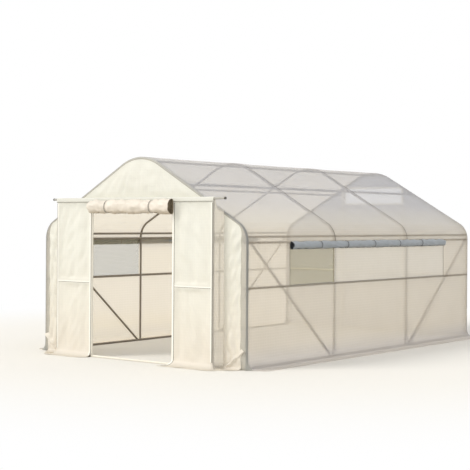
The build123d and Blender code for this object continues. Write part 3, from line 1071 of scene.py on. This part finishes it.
def panel_trim(side):
    """Cuts a panel's hem round at the doorway, and its cheek under the bar and down to the roof's slope."""

    def trim(u, height):
        low = panel_hem + cut_round(u, doorway_corner[side])
        back = u - front_run - turn_run
        high = bar_z - tube - film
        if back > notch:
            high = wing_top - (wing_top - wing_foot) * wing_sink(back)
        return u, min(max(height, low), high)

    return trim


print(f"panel runs {front_run:.3f} m across the front and {cheek_run:.3f} m back")

# %% [markdown]
# Between its posts and rails a panel is drawn in a little and creased, mostly upright, with finer folds
# that slant. The skirt is wavy and lies in low humps, and at the doorway's right side it is pulled
# inwards.

# %% Place a panel
post_hold = 0.08
rail_hold = 0.05
end_hold = 0.10
mean_dip = 0.010
dip_swing = 0.020
upright_share = 0.7
upright_crease = (0.12, 0.5, 11)
slant_share = 0.6
crease_lean = 0.4
slant_crease = (0.07, 0.16, 12)
cheek_sway = 0.006
cheek_crease = (0.05, 0.5, 13)
skirt_hump_height = 0.010
skirt_hump = (0.15, 0.15)
skirt_swing = 0.08
skirt_sway = (0.15, 1)
cheek_tuck = 0.6
doorway_pull = 0.9
doorway_pull_run = 0.25


def panel_dip(u, z):
    """How far the panel is drawn in between its rails and posts."""
    span = ease((u - tube) / post_hold) * ease((front_run - u) / post_hold)
    rows = ease((abs(z - rail_z) - tube) / rail_hold)
    rows *= ease((bar_z - z) / end_hold)
    rows *= ease((z - 2 * tube) / end_hold)
    fold = upright_share * ripple(u, z, *upright_crease)
    fold += slant_share * ripple(u + crease_lean * z, z, *slant_crease)
    return (mean_dip - dip_swing * fold) * span * rows


def panel_place(side):
    """Lays a panel on the front, round the corner post, along the cheek, and out along the ground."""

    def place(u, height):
        reach, z = foot(height, panel_foot)
        hump = max(ripple(u, reach, *skirt_hump, 14 + side), 0)
        z += skirt_hump_height * hump * ease(reach / porch_reach)
        reach *= 1 + skirt_swing * ripple(u, 0, *skirt_sway, 16 + side)
        past = max(u - front_run, 0)
        angle = min(past / end_gap, pi / 2)
        back = max(past - turn_run, 0)
        share = min(back / cheek_run, 1)
        sway = cheek_sway * ripple(back, z, *cheek_crease) * sin(pi * share)
        x = min(door_x + u, porch_x) + cheek_flare * share - abs(sway)
        y = porch_y + back + panel_dip(u, z)
        out = end_gap + reach * (1 - cheek_tuck * share)
        if side > 0:
            x -= doorway_pull * reach * max(1 - u / doorway_pull_run, 0) ** 2
        return Vector((side * (x + out * sin(angle)), y - out * cos(angle), z))

    return place


corner_run = max(doorway_corner.values())
notch_half = 0.0005
sink_run = 0.03
rail_zone = 0.09
panel_columns = steps(0, corner_run, size=0.013) + steps(corner_run, front_run, size=0.017)[1:]
panel_columns += steps(front_run, front_run + turn_run, size=0.004)[1:]
panel_columns += [front_run + turn_run + notch + edge for edge in (-notch_half, notch_half)]
panel_columns += steps(panel_columns[-1], panel_columns[-1] + sink_run, size=0.004)[1:]
panel_columns += steps(panel_columns[-1], front_run + turn_run + cheek_run, size=0.018)[1:]
rail_foot = rail_z - rail_zone
rail_head = rail_z + rail_zone
panel_rows = steps(panel_hem, panel_foot, size=0.012)
panel_rows += steps(panel_foot, rail_foot, size=0.022)[1:]
panel_rows += steps(rail_foot, rail_z - tube, rail_z, rail_z + tube, rail_head, size=0.0125)[1:]
panel_rows += steps(rail_head, wing_foot, wing_top, size=0.022)[1:]
print(f"panel has {len(panel_columns)} columns and {len(panel_rows)} rows")

# %% [markdown]
# White tape binds the panel's edge at the doorway, with the zip that closes the door beside it. A second
# tape covers the corner post, with a grey piping behind it, and a third one holds the panel on its middle
# rail. All of them are narrow cloths that lie on the panel, each given by its columns and rows in the
# panel's own measure.

# %% Lay the panels and their tapes
edge_top = bar_z - 0.045
corner_rows = steps(panel_foot, edge_top, size=0.03)
edge_tape_columns = {1: (0.0, 0.021), -1: (0.008, 0.026)}
zip_columns = {1: (0.021, 0.028), -1: (0.0, 0.008)}
corner_tape_start = front_run - 0.014
corner_columns = (corner_tape_start, front_run)
piping_columns = (front_run, front_run + 0.010)
rail_columns = steps(0.03, corner_tape_start, size=0.03)
rail_rows = (rail_z - 0.004, rail_z + 0.010)
# The grey strip just under the rail's tape is painted shadow below the rail's ridge.
shadow_line_rows = (rail_z - 0.009, rail_z - 0.004)
for side, name in sides:
    place = panel_place(side)
    panel = lay_cloth(f"porch_panel_film_{name}", panel_columns, panel_rows, place, trim=panel_trim(side))
    dress(panel, cream_film, "end_film", f"porch_panel_{name}", "porch_sides", "front_skirts")
    panel.data.materials.append(pane_film)
    for face in panel.data.polygons:
        nearest = min(corner.x for corner in flat_corners(panel, face))
        face.material_index = int(nearest > front_run + turn_run / 2)
    over = standing_off(place, tape_gap, Vector((side, -2, 1)))
    edge_rows = steps(panel_hem + doorway_corner[side], panel_foot, edge_top, size=0.02)
    tapes = {
        "door_edge_tape": (steps(*edge_tape_columns[side], size=0.006), edge_rows, white_tape),
        "door_zip": (steps(*zip_columns[side], size=0.004), edge_rows, grey_tape),
        "corner_tape": (steps(*corner_columns, size=0.006), corner_rows, white_tape),
        "corner_piping": (steps(*piping_columns, size=0.003), corner_rows, grey_tape),
        "rail_tape": (rail_columns, steps(*rail_rows, size=0.005), white_tape),
        "rail_shadow_line": (rail_columns, steps(*shadow_line_rows, size=0.003), grey_tape),
    }
    for kind, (columns, rows, finish) in tapes.items():
        dress(lay_cloth(f"{kind}_{name}", columns, rows, over), finish, "end_film")

# %% [markdown]
# The surround's top is one more sheet. It starts as a sleeve in front of the bar, goes over it, and runs
# back to the gable. At both ends it sinks behind the bar, down to the roof's slope. The seam that closes
# the sleeve shows as a thin line.

# %% Sleeve and top
sleeve_drop = 0.036
sleeve_turn = sleeve_radius * pi / 2
sleeve_hold = 0.02
sleeve_wave = 0.004
sleeve_ripple = (0.06, 0.1, 18)
top_dip = 0.006
top_swing = 0.8
top_ripple = (0.2, 0.2, 19)
seam_start = 0.002
seam_width = 0.006
wing_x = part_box("front_gable")[1].x + 0.010
top_width = porch_x + end_gap + film


def top_place(x, run):
    """Lays the sleeve up the bar's front, over it, and back to the end wall, with sunk wings at the sides."""
    if run < sleeve_drop:
        wave = sleeve_wave * ripple(x, run, *sleeve_ripple) * ease((sleeve_drop - run) / sleeve_hold)
        return Vector((x, porch_y - sleeve_radius - abs(wave), bar_z - sleeve_drop + run))
    angle = min((run - sleeve_drop) / sleeve_radius, pi / 2)
    back = max(run - sleeve_drop - sleeve_turn, 0)
    y = porch_y - sleeve_radius * cos(angle) + back
    z = bar_z + sleeve_radius * sin(angle)
    back_share = min(back / cheek_run, 1)
    side_share = max((abs(x) - wing_x) / (top_width - wing_x), 0)
    sunk = max(side_share + wing_sink(back) - 1, 0)
    dip = top_dip * sin(pi * back_share) * (1 + top_swing * ripple(x, back, *top_ripple))
    z -= dip * (1 - ease(side_share)) + (wing_top - wing_foot) * sunk
    x *= 1 + cheek_flare * side_share * back_share / top_width
    return Vector((x, y, z))


top_columns = steps(-top_width, -wing_x, wing_x, top_width, size=0.025)
top_rows = steps(0, sleeve_drop, size=0.009) + steps(sleeve_drop, sleeve_drop + sleeve_turn, size=0.005)[1:]
top_back = top_rows[-1]
sink_start = top_back + notch
top_rows += steps(top_back, sink_start, size=0.005)[1:]
top_rows += steps(sink_start, sink_start + sink_run, size=0.004)[1:]
top_rows += steps(sink_start + sink_run, top_back + cheek_run, size=0.018)[1:]
top = lay_cloth("porch_top_film", top_columns, top_rows, top_place)
dress(top, cream_film, "end_film", "porch_roof")
top.data.materials.append(pane_film)
for face in top.data.polygons:
    x, run = flat_middle(top, face)
    face.material_index = int(abs(x) > wing_x and run > sink_start)
over = standing_off(top_place, tape_gap, Vector((0, -1, 0)))
seam = lay_cloth("sleeve_seam", top_columns, steps(seam_start, seam_start + seam_width, size=0.003), over)
dress(seam, grey_tape, "end_film")

# %% [markdown]
# A short valance hangs from the bar and closes the doorway's top behind the rolled curtain. Little of it
# is seen, so a slight wave is enough.

# %% Header behind the rolled curtain
header_low, header_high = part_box("door_header")
header_wave = 0.003
header_ripple = (0.10, 0.2, 20)


def header_place(x, z):
    """Lays the short valance that closes the doorway's top."""
    wave = header_wave * ripple(x, z, *header_ripple)
    return Vector((x, porch_y - end_gap + abs(wave), z))


header_columns = steps(header_low.x, header_high.x, size=0.03)
header_rows = steps(header_low.z, bar_z - tube - film, size=0.02)
header = lay_cloth("door_header_film", header_columns, header_rows, header_place)
dress(header, cream_film, "end_film", "door_header")

# %% [markdown]
# ## Rolled curtain and flaps
# The door curtain and the window flaps are long sheets wound up into a roll. A cylinder would show flat
# ends, so each sheet is wound as a spiral with air between its turns. Its back is squashed against the
# wall it hangs on. Ties draw the roll in, and it puckers beside them. The curtain's foot ends up inside,
# so its inner turns are dark, partly with dirt and partly with painted shade; a flap's inner turns are
# painted dark as shade. Lumps are noise on a ring round the roll, so that they close up without a seam.

# %% Wind a roll
flat_back = 0.3
skin_share = 0.95
turn_steps = 30
outer_edge = radians(200)
front_lead = 0.7
tie_hold = 0.05
# A lump's height as a share of the radius, its length, and how often it changes round the roll.
big_lump = (0.30, 0.085, 1.3)
small_lump = (0.12, 0.045, 3)


def round_roll(out, angle):
    """A spoke from a roll's middle to its skin, short towards the wall where the roll is squashed."""
    reach = sin(angle)
    return Vector((0, 0, cos(angle))) + out * (reach if reach > 0 else flat_back * reach)


def lump(run, angle, height, length, changes):
    """How far a lump stands out at a distance along a roll and an angle round it."""
    return height * noise.noise(Vector((run / length, changes * sin(angle), changes * cos(angle))))


def wound_place(start, along, out, radius, girth, ties, core, turns):
    """Winds a sheet round a line from start, from outside in. Its back stays put as its girth changes."""

    def place(run, turn):
        size = girth(run)
        reach = core + (radius - core) * (1 - turn / turns)
        angle = 2 * pi * turn + outer_edge
        free = ease(sin(angle) + front_lead) * ease(min(abs(run - mark) for mark in ties) / tie_hold)
        lumps = lump(run, angle, *big_lump) + lump(run, angle, *small_lump)
        middle = start + along * run + out * flat_back * radius * (size - 1)
        return middle + round_roll(out, angle) * reach * size * (skin_share + lumps * free)

    return place


def drawn_in(ties, full, depth, width):
    """The girth of a roll along it, drawn in by ties."""

    def girth(run):
        return full - depth * max(exp(-(((run - mark) / width) ** 2)) for mark in ties)

    return girth


def wind(name, place, length, step, turns, finishes, slot, node_name):
    """A wound sheet, with its flat length measured round its turns, and its inner side in another finish."""
    outer_finish, inner_finish = finishes
    marks = [i / turn_steps for i in range(round(turn_steps * turns) + 1)]
    roll = lay_cloth(name, steps(0, length, size=step), marks, place)
    dress(roll, outer_finish, slot, node_name)
    roll.data.materials.append(inner_finish)
    for face in roll.data.polygons:
        run, turn = flat_middle(roll, face)
        axis = (place(run, turn) + place(run, turn + 0.5)) / 2
        face.material_index = int(turn > 1 or face.normal.dot(face.center - axis) < 0)
    rounds = [place(length / 2, mark) for mark in marks]
    winding = sum((b - a).length for a, b in zip(rounds, rounds[1:]))
    for corner in roll.data.uv_layers.active.data:
        corner.uv.y *= winding / turns
    roll["length"] = winding
    roll["area"] = length * winding
    return roll


print("rolls are wound from outside in")

# %% Door curtain
roll_low, roll_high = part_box("door_roll")
roll_radius = (roll_high.z - roll_low.z) / 2
roll_length = roll_high.x - roll_low.x
roll_start = Vector((roll_low.x, roll_low.y + roll_radius, (roll_low.z + roll_high.z) / 2))
roll_core = 0.020
roll_turns = 7
roll_step = 0.014
door_ties = (0.258, 0.917)
tied = drawn_in(door_ties, full=1.05, depth=0.12, width=0.030)
wide_run = 0.26
wide_share = 0.13
narrow_run = 0.10
narrow_share = 0.08


def curtain_girth(run):
    """The roll is slack and wide at its right end, and narrower at its left."""
    wide = wide_share * ease((run - roll_length + wide_run) / wide_run)
    narrow = narrow_share * ease((narrow_run - run) / narrow_run)
    return tied(run) + wide - narrow


outward = Vector((0, -1, 0))
across = Vector((1, 0, 0))
curtain_form = (roll_start, across, outward, roll_radius, curtain_girth, door_ties)
place = wound_place(*curtain_form, roll_core, roll_turns)
sizes = (roll_length, roll_step, roll_turns)
finishes = (curtain_film, dirt_and_shade_film)
curtain = wind("door_curtain_roll", place, *sizes, finishes, "end_film", "door_roll")

# %% Window flaps
flap_low, flap_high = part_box("window_rolls")
flap_radius = (flap_high.z - flap_low.z) / 2
flap_length = flap_high.y - flap_low.y
flap_x = flap_high.x - flap_radius
flap_z = (flap_low.z + flap_high.z) / 2
flap_core = 0.012
flap_turns = 4
flap_step = 0.030
flap_ties = (0.552, 1.094, 1.694, 2.283, 2.841)
flap_girth = drawn_in(flap_ties, full=1.05, depth=0.07, width=0.025)
lengthwise = Vector((0, 1, 0))
sizes = (flap_length, flap_step, flap_turns)
finishes = (flap_film, shaded_film)
flaps = []
flap_forms = []
for side, name in sides:
    start = Vector((side * flap_x, flap_low.y, flap_z))
    form = (start, lengthwise, Vector((side, 0, 0)), flap_radius, flap_girth, flap_ties)
    place = wound_place(*form, flap_core, flap_turns)
    flaps.append(wind(f"window_flap_roll_{name}", place, *sizes, finishes, "flap_film", "window_rolls"))
    flap_forms.append(form)

# %% [markdown]
# Narrow tapes tie the rolls up, two on the curtain and five on each flap. Each is a band of cloth bent
# into a loop of the roll's own outline, so it is flat at the back too.

# %% Ties
tie_width = 0.009
tie_clearance = 0.002
loop_steps = 48


def tie(name, middle, along, out, reach):
    """One tape tied round a roll."""

    def place(share, width):
        return middle + along * width + round_roll(out, 2 * pi * share) * reach

    loop = [i / loop_steps for i in range(loop_steps + 1)]
    return lay_cloth(name, loop, steps(-tie_width / 2, tie_width / 2, size=0.004), place)


def tie_up(name, finish, slot, start, along, out, radius, girth, ties):
    """The tapes of one roll, each as tight as the roll is drawn in there."""
    bands = []
    for i, run in enumerate(ties):
        size = girth(run)
        middle = start + along * run + out * flat_back * radius * (size - 1)
        band = tie(f"{name}_{i + 1}", middle, along, out, skin_share * radius * size + tie_clearance)
        bands.append(dress(band, finish, slot))
    return bands


door_bands = tie_up("door_tie", grey_tape, "end_film", *curtain_form)
for (side, name), flap, form in zip(sides, flaps, flap_forms):
    bands = tie_up(f"flap_tie_{name}", dark_tape, "flap_film", *form)

# %% [markdown]
# ## Size
# Both boxes, the CAD model's and the dressed model's, are printed side by side. The dressed model
# has to stay in the CAD model's box.

# %% Print both sizes
new_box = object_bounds()
boxes = {"cad": [list(corner) for corner in cad_box], "scene": [list(corner) for corner in new_box]}
print("CAD box", boxes["cad"], "scene box", boxes["scene"])
